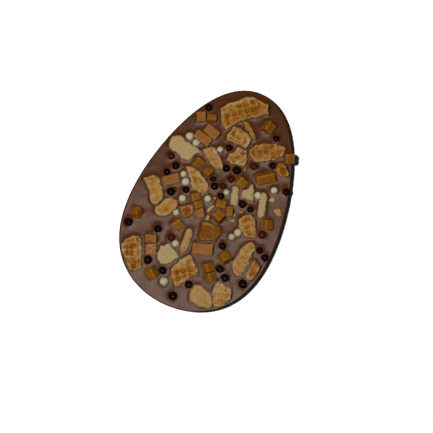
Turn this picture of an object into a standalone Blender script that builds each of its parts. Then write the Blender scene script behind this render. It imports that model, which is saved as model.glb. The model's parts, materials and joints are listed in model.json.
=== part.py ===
"""An egg-shaped slab of milk chocolate, set with broken waffle, biscuit, fudge cubes and chocolate pearls.

Metres, +Z up. The origin is the middle of the flat underside, and +Y points to the egg's narrow end.
"""

import math
import random

import bmesh
import bpy
from mathutils import Matrix, Vector

MM = 0.001

# The slab: half-length a, half-width b, and how far the outline narrows and fills out from an ellipse
EGG_LENGTH = 125 * MM
EGG_WIDTH = 80.8 * MM
EGG_TAPER = 0.217
EGG_FULLNESS = 0.122
OUTLINE_STEPS = 72
SLAB_THICKNESS = 8 * MM
RIM_RADIUS = 1.0 * MM
FOOT_RADIUS = 1.6 * MM
MOULD_DRAFT = 1.0 * MM
ARC_STEPS = 3

# Clearance between solids that touch on the real slab, and how near two points of a cut are made one
GAP = 0.3 * MM
WELD = 0.01 * MM

# The baked waffle sheet that the shards are broken from
WAFFLE_PITCH = 3.7 * MM
WAFFLE_THICKNESS = 4.6 * MM
RIB_WIDTH = 0.9 * MM
POCKET_DEPTH = 0.8 * MM
POCKET_DRAFT = 0.4 * MM
BISCUIT_THICKNESS = 4.2 * MM
CRUMB_THICKNESS = 3.0 * MM
SHARD_SINK = 1.4 * MM
CRUMB_SINK = 0.8 * MM
EDGE_SPREAD = 0.25 * MM
EDGE_STEP = 2.5 * MM
CRAG_DEPTH = 0.6 * MM
SHOULDER = 0.6 * MM

# Fudge: how deep the lowest point of a block lies in the chocolate, and how worn its edges are
FUDGE_SINK = 2.2 * MM
FUDGE_EDGE = 0.35 * MM
FUDGE_UNEVENNESS = 0.25 * MM

# Pearls stand this share of their diameter above the chocolate, from the centre down
PEARL_LIFT = 0.2
PEARL_SEGMENTS = 8
PEARL_RINGS = 4

# Broken waffle: the grid's turn and the lean about X and Y in degrees, then the outline's corners in millimetres
WAFFLES = {
    "waffle_01": (39, (2, -3), [(-17, 45.5), (-14.8, 42), (-12.5, 38.5), (-9.8, 37), (-8.6, 37.6), (-6.8, 41.2),
                                (-3, 45.6), (2, 49.5), (7.5, 54), (5.2, 58), (0, 58.4), (-4, 58.6), (-7.5, 56.6),
                                (-9.8, 53.8), (-14, 50)]),
    "waffle_02": (86, (-3, 2), [(-6.5, 39.6), (-7.8, 34.5), (-6.6, 31.8), (-2.5, 32), (3.9, 31.8), (4.7, 35),
                                (4.3, 37.8), (1.8, 39.4), (-3, 40.2)]),
    "waffle_03": (62, (3, 3), [(0.1, 30.9), (-0.5, 27.3), (-2.4, 25.6), (-2.2, 23), (0.7, 21.6), (3, 22.6),
                               (6.5, 23), (7.6, 25), (7.2, 27.5), (5, 30.9)]),
    "waffle_04": (30, (-4, 3), [(6.6, 32.5), (7.4, 30), (10, 28.2), (12.3, 27.8), (16, 29.8), (20, 32.5),
                                (23.6, 36), (23.6, 40.6), (22, 41.2), (17, 40.6), (12, 38.4), (8.5, 35.8)]),
    "waffle_05": (-38, (2, 4), [(-16.2, 21.7), (-13.5, 19.2), (-10.9, 18), (-8.6, 16.6), (-5, 15.7), (-2.6, 17.2),
                                (-4, 20), (-7, 22.3), (-9.7, 24.9), (-11.8, 25.2), (-14, 23.8)]),
    "waffle_06": (-42, (0, -4), [(-37.8, -5.8), (-34, -9), (-31, -12), (-29.5, -15), (-27.2, -16), (-25.3, -14.7),
                                 (-24.3, -11.5), (-24.7, -9), (-26.6, -7), (-28.8, -4.8), (-30.6, -2.4), (-34, -2)]),
    "waffle_07": (58, (4, -3), [(24.2, 32.2), (24.3, 29), (26, 27.3), (28, 26.8), (30.7, 28.2), (31.2, 29.8),
                                (29, 31.5), (27.5, 33), (25, 33.3)]),
    "waffle_08": (-58, (3, 2), [(17.6, -4), (19.3, -7.4), (22.7, -9.3), (24.2, -10.2), (26.5, -9.3), (29.2, -8.2),
                                (28, -5.3), (26, -1.8), (24.2, 0.4), (21.5, 0.8), (19, -1)]),
    "waffle_09": (-62, (-2, 5), [(-33.8, -43), (-31.8, -46.3), (-28.5, -49.3), (-25.5, -52), (-23.8, -53),
                                 (-20.8, -51.7), (-19, -50), (-21, -45.5), (-23.4, -40.5), (-25.5, -37),
                                 (-27.5, -35.4), (-30.5, -36.6), (-33, -39.5)]),
    "waffle_10": (38, (3, -2), [(-3.6, -43.5), (-2.2, -46.8), (0.3, -48.8), (2.3, -50.7), (3.6, -49.5), (5.3, -46),
                                (6.8, -43.2), (10.2, -39.6), (9, -37.4), (6, -35.3), (3.5, -32.8), (2, -32.2),
                                (0.3, -34.3), (-1.6, -37), (-3, -40.5)]),
    "waffle_11": (82, (-2, -3), [(24.6, -25.5), (25.6, -28.6), (28, -31), (29.3, -31.6), (31.3, -30.7),
                                 (32.1, -27), (32.5, -23), (31.8, -19), (32, -15), (30.6, -12.6), (29, -11.9),
                                 (27.3, -13.8), (25.5, -17), (25.2, -21.5)]),
    "waffle_12": (80, (2, 4), [(33.6, -20.8), (34, -24), (33.5, -27.5), (34.2, -30), (36.2, -30.5), (37.9, -29),
                               (38.3, -25.5), (38.2, -22.2), (36, -20.8), (34.5, -20.1)]),
    "waffle_13": (-66, (2, 3), [(21, -41), (21.2, -44.5), (21.7, -46.4), (23.6, -49), (25, -51.2), (27.5, -50.2),
                                (29.6, -48.8), (30.2, -46.6), (31.1, -44.5), (30.2, -41.2), (28.5, -38.8),
                                (23.5, -38.4), (21.5, -38.7)]),
}

# Biscuit broken across, or lying smooth side up, in the same form without the grid's turn
BISCUITS = {
    "biscuit_01": ((3, -3), [(-2.8, 44.3), (0, 42), (3.5, 39.9), (6, 38.5), (6.9, 39), (6.5, 40.2), (3.5, 42.8),
                             (0.5, 45), (-1.5, 45.2)]),
    "biscuit_02": ((-2, 3), [(-34, 18), (-33.3, 15.6), (-30.5, 14.2), (-26.5, 13.8), (-24.5, 12.6), (-21, 13),
                             (-19.9, 14.8), (-19.2, 17.6), (-17, 19.6), (-19, 20.8), (-24, 21.4), (-28.5, 22.4),
                             (-30.5, 23), (-33.8, 21)]),
    "biscuit_03": ((3, 4), [(-20.6, 9.6), (-17, 6), (-14.2, 2.8), (-12.6, 1), (-10.2, 0.6), (-6.7, 0.7),
                            (-5, 1.8), (-4.5, 3.8), (-6, 6.2), (-9, 8), (-13, 10.3), (-18, 10.8)]),
    "biscuit_04": ((2, -4), [(-25.6, -17), (-24.5, -19.7), (-22, -20.2), (-19, -19), (-17, -16.5), (-15.9, -13.5),
                             (-15.4, -11), (-16.6, -9.1), (-19.7, -8.9), (-22.4, -10.4), (-23.4, -13)]),
    "biscuit_05": ((-4, 3), [(-14, -11.7), (-11.5, -14.2), (-10.3, -15.4), (-8.8, -15.2), (-7, -13), (-6.8, -11.3),
                             (-7.8, -8.8), (-8.5, -7.9), (-10.5, -9), (-12.5, -10.6)]),
    "biscuit_06": ((2, 2), [(6.9, 10.4), (8.2, 7), (9, 3.5), (10.2, 1.9), (12.6, 1.9), (12.9, 3), (11.7, 7),
                            (10.2, 11), (8.6, 11.6)]),
    "biscuit_07": ((-3, -2), [(15.4, 15.8), (14.6, 12), (12.6, 10.4), (13.8, 7.2), (17, 7.8), (20, 8),
                              (19.2, 10.2), (18.1, 13), (16.7, 15.3)]),
    "biscuit_08": ((3, -3), [(22.9, 14.5), (23.3, 10), (24.2, 7.3), (25, 4.5), (26.2, 2.4), (28, 2.2), (28.9, 4),
                             (28.2, 6.7), (27, 9.5), (26.2, 13), (24.5, 14.8)]),
    "biscuit_09": ((-3, 2), [(0.2, -13.2), (1.2, -15.8), (2.2, -19), (2, -21.5), (3.8, -22.8), (6.2, -21.2),
                             (10.6, -20.2), (11.1, -17), (12, -14.4), (10.3, -12.6), (5.5, -12.6), (3, -13)]),
    "biscuit_10": ((2, 5), [(-5.6, -20.6), (-5.2, -24), (-4.9, -28), (-4.6, -31.3), (-2.8, -33), (-1.2, -31),
                            (-1.2, -26.5), (-1.9, -22.5), (-3, -19.7), (-4.5, -19.6)]),
    "biscuit_11": ((-3, -2), [(-14.1, -35), (-14.2, -39), (-13, -41.4), (-10, -43.1), (-7.5, -42.3),
                              (-5.6, -40.6), (-4.4, -37.8), (-3.2, -35.8), (-5.5, -34.2), (-8.4, -33.4),
                              (-10, -32), (-11.4, -32.4), (-12.4, -34.4)]),
    "biscuit_12": ((-2, 2), [(10.6, -49), (11.3, -52.3), (12.5, -54.5), (16, -54.6), (18.5, -55.2), (22.8, -54.4),
                             (24, -52), (22.7, -49.3), (20.6, -46.9), (17.5, -45.9), (14, -44.8), (11.7, -45.8)]),
}

# Biscuit crumbs that stick to the chocolate: corners in millimetres
CRUMBS = [
    [(27.4, 12), (30.4, 11.8), (30.6, 13.8), (29.3, 14.9), (27.8, 14.2)],
    [(31.8, 9.2), (32.6, 7.5), (35, 6.7), (37.2, 7.4), (36.4, 9.2), (35.2, 10.9), (34, 10.7)],
    [(0, -7.9), (-0.3, -5.8), (1, -3.2), (2.4, -2.6), (2.8, -3.6), (1.8, -5), (1.5, -7.4)],
    [(1, -8.8), (2.7, -8.8), (3.1, -11.6), (0.9, -11.8)],
    [(13.1, -6.4), (14.2, -5.2), (16, -5.1), (15.6, -6.5), (14.4, -7)],
]

# Fudge: centre x and y, length, width and height in millimetres, then the turn, the way that the top tips and
# how far it tips, in degrees
FUDGE = {
    "fudge_01": (-24.6, 37, 5.1, 5.3, 5.6, 28, 25, 4),
    "fudge_02": (-19.2, 38.8, 5.2, 3.6, 4.4, 22, 112, 28),
    "fudge_03": (-15.9, 32.3, 8.2, 5.4, 5.6, -13, 257, 3),
    "fudge_04": (-18.9, 27.1, 9.4, 5, 5.4, -11, 40, 5),
    "fudge_05": (10.4, 47.5, 5.4, 5.6, 5.4, -10, 10, 28),
    "fudge_06": (-15.1, 14.1, 5.6, 5.4, 5.4, -9, -5, 20),
    "fudge_07": (-8.2, 11.8, 4.9, 4.8, 4.9, 70, 115, 35),
    "fudge_08": (27.6, 37.3, 5.1, 5.4, 5.2, 26, -20, 22),
    "fudge_09": (20.8, 22.5, 10.1, 5.4, 5.2, 38, 308, 26),
    "fudge_10": (10, 14.8, 5.6, 5.4, 5.4, -14, -24, 22),
    "fudge_11": (-24.6, -0.2, 9.2, 5.3, 5.8, 41, 0, 3),
    "fudge_12": (-8.9, -2.8, 4.1, 4.8, 5.2, -51, 0, 8),
    "fudge_13": (-2.9, -9.9, 4.9, 5, 5.6, -51, 220, 5),
    "fudge_14": (-17.4, -48.1, 2.6, 2.4, 3.8, -30, 240, 8),
    "fudge_15": (-33.6, -24.1, 5.1, 5.1, 5.1, 8, 143, 50),
    "fudge_16": (-11.3, -20.3, 5.4, 5.4, 5.4, -24, -20, 20),
    "fudge_17": (5.2, -0.7, 5.6, 4.4, 5.2, 15, 105, 6),
    "fudge_18": (7.1, -7, 5.8, 5.7, 5.8, 70, 115, 28),
    "fudge_19": (10.8, -2.1, 5.7, 3.6, 5.6, 112, -20, 6),
    "fudge_20": (-20.5, -33, 6.2, 4.4, 5.4, 25, 205, 12),
    "fudge_21": (-18.4, -38.4, 5.8, 6, 5.6, 25, 0, 5),
    "fudge_22": (32.2, 0.1, 5, 5.6, 5.2, 22, 20, 32),
    "fudge_23": (6.6, -26.5, 10.8, 6.2, 5.8, 20, 0, 0),
    "fudge_24": (19.4, -25.6, 5.4, 5.4, 5.4, 50, 95, 40),
    "fudge_25": (-12.3, -50, 5.2, 5.6, 5.2, 54, 234, 36),
    "fudge_26": (13.6, -34.3, 4.9, 5.2, 5.4, -51, 39, 35),
    "fudge_27": (16.9, -38.4, 4.9, 5.2, 5.4, -51, 39, 35),
    "fudge_28": (-5.8, -6.1, 3.9, 4.8, 5.2, -51, 30, 6),
}

# Chocolate pearls: centre x and y and diameter in millimetres
DARK_PEARLS = [
    (-23.1, 43.4, 4.2), (16.8, 43.9, 3.5), (-4, 28.5, 3.8), (-25.7, 7.5, 4.3), (-28.6, 2.6, 3.9), (-0.6, 18, 4.1),
    (5, 19.4, 4.5), (21.1, 30, 3.9), (-4.5, 9.7, 3.4), (-2.1, 6.6, 4.3), (-22, -6, 4.7), (-15.2, -1.6, 3.9),
    (3.3, 3.4, 3.8), (33.8, 20.4, 4.1), (15.5, 4.4, 4.5), (20.6, 3.6, 3.7), (-35.6, -30.6, 4.7), (-19.8, -27, 4.4),
    (15.6, -20.5, 4.2), (34.6, -14.1, 3.9), (38.7, -16.4, 4.1), (-17.4, -44.4, 4.8), (-7.8, -46.1, 4.4),
    (19.6, -32.2, 4.4), (24, -35.4, 4.6), (34, -34.2, 4.9), (8.1, -47, 4.5), (3, -56.2, 5.1),
]
MILK_PEARLS = [
    (-30.2, 11.3, 4.2), (12.3, 25.4, 4.4), (4.2, 14, 4.2), (1.8, 8.5, 3.8), (32, -6, 4.6), (-11.2, -28.1, 4.5),
]
WHITE_PEARLS = [
    (-25.6, 25.2, 4.6), (-21, 23.4, 4.1), (-7.8, 25.7, 3.5), (-19.9, 5.5, 3.6), (-17.2, 2.1, 4.3), (5.2, 6.4, 3.5),
    (-2.4, -0.9, 3.9), (-14.8, -6.6, 4.2), (21.1, 12.1, 4.2), (27.8, 18.4, 3.9), (-14.6, -15, 3.7), (20, -10.4, 4.3),
    (18, -14.1, 3.7), (-7.7, -30.2, 4.1), (-4.6, -51.2, 4.8),
]


def finish(name, colour, roughness):
    """A material of one colour and gloss."""
    made = bpy.data.materials.new(name)
    made.use_nodes = True
    shader = made.node_tree.nodes["Principled BSDF"]
    shader.inputs["Base Color"].default_value = (*colour, 1)
    shader.inputs["Roughness"].default_value = roughness
    shader.inputs["Metallic"].default_value = 0
    return made


def add_object(name, shape, material=None):
    """Turns a bmesh into an object in the scene."""
    bmesh.ops.recalc_face_normals(shape, faces=shape.faces)
    mesh = bpy.data.meshes.new(name)
    shape.to_mesh(mesh)
    shape.free()
    made = bpy.data.objects.new(name, mesh)
    bpy.context.scene.collection.objects.link(made)
    if material:
        mesh.materials.append(material)
    return made


def combine(target, operation, others):
    """Joins others to target, or cuts it by them, with one Boolean, and then removes them."""
    group = bpy.data.collections.new(f"{target.name} {operation}")
    bpy.context.scene.collection.children.link(group)
    for other in others:
        group.objects.link(other)
    modifier = target.modifiers.new(operation, "BOOLEAN")
    modifier.operation = operation
    modifier.operand_type = "COLLECTION"
    modifier.collection = group
    bpy.context.view_layer.update()
    evaluated = target.evaluated_get(bpy.context.evaluated_depsgraph_get())
    result = bpy.data.meshes.new_from_object(evaluated)
    target.modifiers.clear()
    target.data = result
    for other in others:
        bpy.data.objects.remove(other)
    bpy.data.collections.remove(group)


def drop_scraps(target):
    """Keeps the largest closed shell of a mesh, and drops any loose scrap that a cut left."""
    shape = bmesh.new()
    shape.from_mesh(target.data)
    bmesh.ops.remove_doubles(shape, verts=shape.verts, dist=WELD)
    unseen = set(shape.verts)
    shells = []
    while unseen:
        shell = set()
        edge_of_search = [unseen.pop()]
        while edge_of_search:
            vertex = edge_of_search.pop()
            shell.add(vertex)
            for link in vertex.link_edges:
                other = link.other_vert(vertex)
                if other in unseen:
                    unseen.remove(other)
                    edge_of_search.append(other)
        shells.append(shell)
    shells.sort(key=len)
    for scrap in shells[:-1]:
        bmesh.ops.delete(shape, geom=list(scrap), context="VERTS")
    shape.to_mesh(target.data)
    shape.free()


def smooth(target, angle=40):
    """Shades a piece smooth, but for the edges sharper than the angle in degrees."""
    target.data.shade_smooth()
    target.data.set_sharp_from_angle(angle=math.radians(angle))


def egg_point(turn, inset):
    """A point of the egg's outline moved in by inset. The turn runs anticlockwise from the narrow end."""
    across, along = math.sin(turn), math.cos(turn)
    swell = 1 - EGG_TAPER * along + EGG_FULLNESS * along**2
    point = Vector((-across * swell * EGG_WIDTH / 2, along * EGG_LENGTH / 2))
    swell_change = EGG_TAPER * across - 2 * EGG_FULLNESS * along * across
    tangent = Vector((-(along * swell + across * swell_change) * EGG_WIDTH / 2, -across * EGG_LENGTH / 2))
    outward = Vector((tangent.y, -tangent.x)).normalized()
    return point - outward * inset


def wall_profile():
    """(inset, height) of the slab's edge from the flat underside up over the rim."""
    points = []
    for step in range(ARC_STEPS + 1):
        turn = step / ARC_STEPS * math.pi / 2
        inset = MOULD_DRAFT + FOOT_RADIUS * (1 - math.sin(turn))
        points.append((inset, FOOT_RADIUS * (1 - math.cos(turn))))
    for step in range(ARC_STEPS + 1):
        turn = step / ARC_STEPS * math.pi / 2
        inset = RIM_RADIUS * (1 - math.cos(turn))
        points.append((inset, SLAB_THICKNESS - RIM_RADIUS * (1 - math.sin(turn))))
    return points


def slab_body(material):
    """The cast slab before anything is set in it."""
    shape = bmesh.new()
    rings = []
    for inset, height in wall_profile():
        turns = [step / OUTLINE_STEPS * math.tau for step in range(OUTLINE_STEPS)]
        rings.append([shape.verts.new((*egg_point(turn, inset), height)) for turn in turns])
    for lower, upper in zip(rings, rings[1:]):
        for here in range(OUTLINE_STEPS):
            there = (here + 1) % OUTLINE_STEPS
            shape.faces.new((lower[here], lower[there], upper[there], upper[here]))
    shape.faces.new(reversed(rings[0]))
    shape.faces.new(rings[-1])
    return add_object("chocolate_slab", shape, material)


def middle_of(corners):
    """The mean of an outline's corners."""
    return sum((Vector(corner) for corner in corners), Vector((0, 0))) / len(corners)


def grown(points, distance):
    """An anticlockwise outline moved out by distance, with mitred corners."""
    moved = []
    for index, point in enumerate(points):
        before = (point - points[index - 1]).normalized()
        after = (points[(index + 1) % len(points)] - point).normalized()
        normals = Vector((before.y, -before.x)), Vector((after.y, -after.x))
        mitre = (normals[0] + normals[1]) / max(0.5, 1 + normals[0].dot(normals[1]))
        moved.append(point + mitre * distance)
    return moved


def ragged(points, rng):
    """An outline with its sides split into short steps, each bitten inwards a little as a break is."""
    made = []
    for index, point in enumerate(points):
        following = points[(index + 1) % len(points)]
        side = following - point
        inward = Vector((-side.y, side.x)).normalized()
        steps = max(1, round(side.length / EDGE_STEP))
        for step in range(steps):
            bite = rng.uniform(0.1, 1) * CRAG_DEPTH if step else 0
            made.append(point + side * step / steps + inward * bite)
    return made


def prism(points, bottom, top, shoulder=0.0, crown=0.0):
    """A closed bmesh of an outline from bottom to top, with a sloped shoulder and a raised middle."""
    shape = bmesh.new()
    foot = [shape.verts.new((*point, bottom)) for point in points]
    brow = [shape.verts.new((*point, top - shoulder)) for point in points]
    rings = [foot, brow]
    if shoulder:
        rings.append([shape.verts.new((*point, top)) for point in grown(points, -shoulder)])
    for lower, upper in zip(rings, rings[1:]):
        for here in range(len(points)):
            there = (here + 1) % len(points)
            shape.faces.new((lower[here], lower[there], upper[there], upper[here]))
    shape.faces.new(reversed(foot))
    lid = shape.faces.new(rings[-1])
    if crown:
        bmesh.ops.poke(shape, faces=[lid], offset=crown)
    bmesh.ops.triangulate(shape, faces=shape.faces[:])
    return shape


def outline_of(corners, spread=0.0):
    """An outline's corners as vectors in metres about their middle, moved out by spread."""
    middle = middle_of(corners)
    return grown([(Vector(corner) - middle) * MM for corner in corners], spread)


def set_down(target, corners, lean, sink):
    """Places a shard over its middle, leaning a little, with its underside sunk in the chocolate."""
    middle = middle_of(corners) * MM
    target.location = (*middle, SLAB_THICKNESS - sink)
    target.rotation_euler = (math.radians(lean[0]), math.radians(lean[1]), 0)


def waffle_sheet(reach, turn):
    """A sheet of baked waffle wide enough to cover reach: pockets with sloping walls between ribs."""
    cells = 2 * math.ceil(reach / WAFFLE_PITCH) + 1
    shape = bmesh.new()
    bmesh.ops.create_grid(shape, x_segments=cells, y_segments=cells, size=cells * WAFFLE_PITCH / 2)
    bmesh.ops.translate(shape, verts=shape.verts, vec=(0, 0, WAFFLE_THICKNESS))
    pockets = shape.faces[:]
    bmesh.ops.inset_individual(shape, faces=pockets, thickness=RIB_WIDTH / 2)
    bmesh.ops.inset_individual(shape, faces=pockets, thickness=POCKET_DRAFT, depth=-POCKET_DEPTH)
    rim = [edge for edge in shape.edges if edge.is_boundary]
    walls = bmesh.ops.extrude_edge_only(shape, edges=rim)["geom"]
    lowered = [part for part in walls if isinstance(part, bmesh.types.BMVert)]
    for vertex in lowered:
        vertex.co.z = -WAFFLE_THICKNESS
    bmesh.ops.contextual_create(shape, geom=[edge for edge in shape.edges if edge.is_boundary])
    bmesh.ops.rotate(shape, verts=shape.verts, matrix=Matrix.Rotation(math.radians(turn), 3, "Z"))
    return add_object("waffle sheet", shape)


def waffle_shard(name, turn, lean, corners, material):
    """What a broken outline keeps of the waffle sheet."""
    points = outline_of(corners, EDGE_SPREAD)
    rng = random.Random(name)
    shard = add_object(name, prism(ragged(points, rng), 0, 2 * WAFFLE_THICKNESS), material)
    reach = max(point.length for point in points) + WAFFLE_PITCH
    combine(shard, "INTERSECT", [waffle_sheet(reach, turn)])
    shard.data.materials.clear()
    shard.data.materials.append(material)
    set_down(shard, corners, lean, SHARD_SINK)
    smooth(shard)
    return shard


def biscuit_shard(name, lean, corners, material):
    """A broken piece of plain biscuit with a craggy edge and a slightly raised face."""
    rng = random.Random(name)
    points = ragged(outline_of(corners, EDGE_SPREAD), rng)
    shape = prism(points, 0, BISCUIT_THICKNESS, SHOULDER, CRAG_DEPTH / 2)
    for vertex in shape.verts:
        if vertex.co.z > BISCUIT_THICKNESS / 2:
            vertex.co.z += rng.uniform(-1, 1) * CRAG_DEPTH / 3
    shard = add_object(name, shape, material)
    set_down(shard, corners, lean, SHARD_SINK)
    smooth(shard)
    return shard


def shard_socket(corners, lean, thickness):
    """The space that a shard and its clearance take up."""
    points = outline_of(corners, EDGE_SPREAD + GAP)
    socket = add_object("socket", prism(points, -GAP, thickness + 2 * GAP))
    set_down(socket, corners, lean, SHARD_SINK)
    return socket


def block(name, sizes, turns, grow, material=None):
    """A cut block of fudge, uneven and with worn edges, or the space that it takes up if grow is given."""
    x, y, length, width, height = (value * MM for value in sizes)
    rng = random.Random(str(sizes))
    shape = bmesh.new()
    bmesh.ops.create_cube(shape, size=1)
    for vertex in shape.verts:
        uneven = Vector(rng.uniform(-1, 0) for _ in range(3)) * FUDGE_UNEVENNESS
        half = Vector((length, width, height)) / 2 + uneven + Vector((grow, grow, grow))
        vertex.co = Vector(2 * side * reach for side, reach in zip(vertex.co, half))
    if not grow:
        bmesh.ops.bevel(shape, geom=shape.edges[:], offset=FUDGE_EDGE, segments=1, affect="EDGES")
    bmesh.ops.triangulate(shape, faces=shape.faces[:])
    made = add_object(name, shape, material)
    turn, way, tip = (math.radians(angle) for angle in turns)
    axis = Vector((-math.sin(way), math.cos(way), 0))
    posed = Matrix.Rotation(tip, 3, axis) @ Matrix.Rotation(turn, 3, "Z")
    half_sizes = Vector((length, width, height)) / 2
    drop = sum(abs(posed[2][axis]) * half_sizes[axis] for axis in range(3))
    made.rotation_euler = posed.to_euler()
    made.location = (x, y, SLAB_THICKNESS - FUDGE_SINK + drop)
    return made


def pearl(x, y, diameter):
    """One chocolate pearl, sunk a third of its height."""
    shape = bmesh.new()
    radius = diameter * MM / 2
    bmesh.ops.create_uvsphere(shape, u_segments=PEARL_SEGMENTS, v_segments=PEARL_RINGS, radius=radius)
    made = add_object("pearl", shape)
    made.location = (x * MM, y * MM, SLAB_THICKNESS + PEARL_LIFT * diameter * MM)
    return made


def crumb(corners):
    """One biscuit crumb, sunk a little."""
    made = add_object("crumb", prism(outline_of(corners), 0, CRUMB_THICKNESS, SHOULDER))
    set_down(made, corners, (0, 0), CRUMB_SINK)
    return made


def main():
    for old in list(bpy.data.objects):
        bpy.data.objects.remove(old)
    chocolate = finish("milk chocolate", (0.09, 0.035, 0.018), 0.35)
    waffle = finish("waffle", (0.42, 0.2, 0.06), 0.8)
    biscuit = finish("biscuit", (0.45, 0.29, 0.12), 0.9)
    fudge = finish("fudge", (0.3, 0.12, 0.025), 0.4)

    slab = slab_body(chocolate)
    toppings = [pearl(*place) for place in DARK_PEARLS + MILK_PEARLS + WHITE_PEARLS]
    toppings += [crumb(corners) for corners in CRUMBS]
    combine(slab, "UNION", toppings)

    sockets = []
    for name, (turn, lean, corners) in WAFFLES.items():
        waffle_shard(name, turn, lean, corners, waffle)
        sockets.append(shard_socket(corners, lean, WAFFLE_THICKNESS))
    for name, (lean, corners) in BISCUITS.items():
        biscuit_shard(name, lean, corners, biscuit)
        sockets.append(shard_socket(corners, lean, BISCUIT_THICKNESS))
    for name, values in FUDGE.items():
        smooth(block(name, values[:5], values[5:], 0, fudge))
        sockets.append(block(f"{name} socket", values[:5], values[5:], GAP))
    combine(slab, "DIFFERENCE", sockets)
    drop_scraps(slab)
    slab.data.materials.clear()
    slab.data.materials.append(chocolate)
    smooth(slab)


main()
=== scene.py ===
# %% [markdown]
# # An egg-shaped chocolate slab with broken waffle, biscuit, fudge and chocolate pearls
#
# The slab lies flat, toppings up, and the camera looks straight down on it. The frame gives one solid for
# the slab and one for each shard of waffle or biscuit and each block of fudge. Here the slab gets its
# poured surface, the shards get their crumb and the pearls get their three kinds of chocolate.
#
# Everything is in metres. +Z is up and +Y points to the egg's narrow end.

# %% The frame and what it holds
import json
import math

import bmesh
import bpy
import numpy as np
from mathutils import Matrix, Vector, noise
from mathutils.kdtree import KDTree


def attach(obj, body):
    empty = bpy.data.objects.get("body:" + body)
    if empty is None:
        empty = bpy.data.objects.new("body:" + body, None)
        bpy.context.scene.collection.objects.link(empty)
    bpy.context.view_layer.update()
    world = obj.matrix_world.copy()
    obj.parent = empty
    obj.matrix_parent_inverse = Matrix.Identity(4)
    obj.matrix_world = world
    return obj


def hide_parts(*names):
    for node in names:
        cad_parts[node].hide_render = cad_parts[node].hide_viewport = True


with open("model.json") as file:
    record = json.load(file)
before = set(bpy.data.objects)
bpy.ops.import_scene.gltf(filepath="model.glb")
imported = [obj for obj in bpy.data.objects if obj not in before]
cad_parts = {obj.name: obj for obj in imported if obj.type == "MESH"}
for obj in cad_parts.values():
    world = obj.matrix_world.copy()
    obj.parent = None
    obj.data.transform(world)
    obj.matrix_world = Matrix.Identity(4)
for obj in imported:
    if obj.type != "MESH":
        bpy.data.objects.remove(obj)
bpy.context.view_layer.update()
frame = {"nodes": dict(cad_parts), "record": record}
MM = 0.001
SLAB_TOP = 8 * MM

scene = bpy.context.scene
node_names = [part["node"] for part in frame["record"]["subparts"]]
slots = {part["node"]: part["material_slot"] for part in frame["record"]["subparts"]}

# %% [markdown]
# ## Helpers for node trees
#
# Materials and Geometry Nodes are both trees of nodes. Written out, a tree takes a line for each node,
# value and link. These helpers add a node, fill its inputs and give back the output that the next node
# needs, so a tree reads like a sum.


# %% Nodes and values
def add_node(tree, kind, inputs=None, **settings):
    """A node with its settings made, and its inputs set or linked."""
    node = tree.nodes.new(kind)
    for name, value in settings.items():
        setattr(node, name, value)
    for name, value in (inputs or {}).items():
        if isinstance(value, bpy.types.NodeSocket):
            tree.links.new(value, node.inputs[name])
        else:
            node.inputs[name].default_value = value
    return node


def maths(tree, operation, first, second=0.0, clamp=False):
    """The result of a Math node."""
    inputs = {0: first, 1: second}
    return add_node(tree, "ShaderNodeMath", inputs, operation=operation, use_clamp=clamp).outputs[0]


def remap(tree, value, low, high, new_low=0.0, new_high=1.0):
    """A value moved smoothly from one range to another, and held at the ends."""
    inputs = {"Value": value, "From Min": low, "From Max": high, "To Min": new_low, "To Max": new_high}
    return add_node(tree, "ShaderNodeMapRange", inputs, interpolation_type="SMOOTHSTEP").outputs["Result"]


def noisy(tree, place, scale, detail, **more):
    """Smooth noise from 0 to 1, with features about 1 / scale wide."""
    inputs = {"Vector": place, "Scale": scale, "Detail": detail, **more}
    return add_node(tree, "ShaderNodeTexNoise", inputs).outputs["Fac"]


def swing(tree, value, width):
    """A noise value moved to lie evenly on both sides of zero."""
    return maths(tree, "MULTIPLY", maths(tree, "SUBTRACT", value, 0.5), width)


def new_group(name, kind, inputs, outputs):
    """A node group with its sockets, and what its Group Input node gives."""
    group = bpy.data.node_groups.new(name, kind)
    for way, sockets in (("INPUT", inputs), ("OUTPUT", outputs)):
        for socket, value_kind in sockets.items():
            group.interface.new_socket(socket, in_out=way, socket_type=f"NodeSocket{value_kind}")
    return group, add_node(group, "NodeGroupInput").outputs


print("helpers for node trees ready")

# %% [markdown]
# ## Helpers for meshes and pieces
#
# A solid from the frame comes as loose triangles, so `take_mesh` copies it and closes its seams. A
# modifier is applied by keeping the mesh that it gives. `settle` then adds the finished mesh as a piece
# of the object: it gets its material, rides on the one body and hides the solids it stands for.

# %% Meshes and pieces
SEAM = 0.002 * MM


def new_object(name, data):
    """An object at the origin of the scene."""
    made = bpy.data.objects.new(name, data)
    scene.collection.objects.link(made)
    return made


def new_mesh(name, vertices, faces):
    """A mesh from arrays."""
    mesh = bpy.data.meshes.new(name)
    mesh.from_pydata([tuple(vertex) for vertex in vertices], [], faces)
    mesh.update()
    return mesh


def take_mesh(node):
    """A copy of a solid's mesh with its loose triangles joined."""
    mesh = frame["nodes"][node].data.copy()
    shape = bmesh.new()
    shape.from_mesh(mesh)
    bmesh.ops.remove_doubles(shape, verts=shape.verts, dist=SEAM)
    shape.to_mesh(mesh)
    shape.free()
    mesh.materials.clear()
    return mesh


def bake_modifiers(made):
    """Applies an object's modifiers by taking the evaluated mesh."""
    bpy.context.view_layer.update()
    evaluated = made.evaluated_get(bpy.context.evaluated_depsgraph_get())
    mesh = bpy.data.meshes.new_from_object(evaluated)
    made.modifiers.clear()
    made.data = mesh


def use_nodes(made, group, **values):
    """Runs a Geometry Nodes group on an object with its inputs set by name, and applies it."""
    modifier = made.modifiers.new(group.name, "NODES")
    modifier.node_group = group
    for item in group.interface.items_tree:
        key = item.name.lower().replace(" ", "_")
        if key in values:
            modifier[item.identifier] = values[key]
    bake_modifiers(made)


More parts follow.
